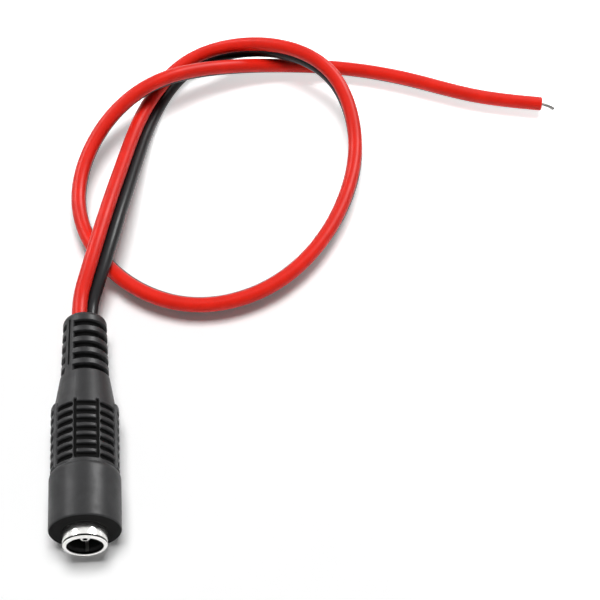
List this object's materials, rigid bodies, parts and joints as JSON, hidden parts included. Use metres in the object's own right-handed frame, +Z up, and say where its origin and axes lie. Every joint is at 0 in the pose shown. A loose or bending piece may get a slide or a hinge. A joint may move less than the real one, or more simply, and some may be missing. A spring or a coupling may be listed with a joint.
{
  "type": "dc barrel jack pigtail",
  "caption": "Moulded female DC barrel jack with ribbed grip and slotted strain relief, on a red and black two-core lead laid in a loose loop with bare tinned ends.",
  "frame": {"origin": "middle of the mouth's throat at its outer end, on the socket's axis", "axes": "+Y along the socket's axis from the mouth to the cable exit, +Z up, the part lies on z = -5.6 mm"},
  "size_m": [0.0924, 0.1031, 0.0112],
  "materials": {
    "housing_pvc": "satin moulded PVC",
    "nickel_plate": "bright nickel plate on brass",
    "core_plastic": "matt moulded plastic",
    "spring_bronze": "plated spring bronze",
    "red_pvc": "satin extruded PVC",
    "black_pvc": "satin extruded PVC",
    "tinned_copper": "tinned and soldered copper strands"
  },
  "bodies": {
    "root": {"moulded_housing": "housing_pvc", "contact_shell": "nickel_plate", "insulator": "core_plastic", "centre_pin": "nickel_plate", "leaf_contact": "spring_bronze", "red_wire": "red_pvc", "black_wire": "black_pvc", "red_joint": "tinned_copper", "black_joint": "tinned_copper", "red_tip": "tinned_copper", "black_tip": "tinned_copper"}
  },
  "joints": []
}
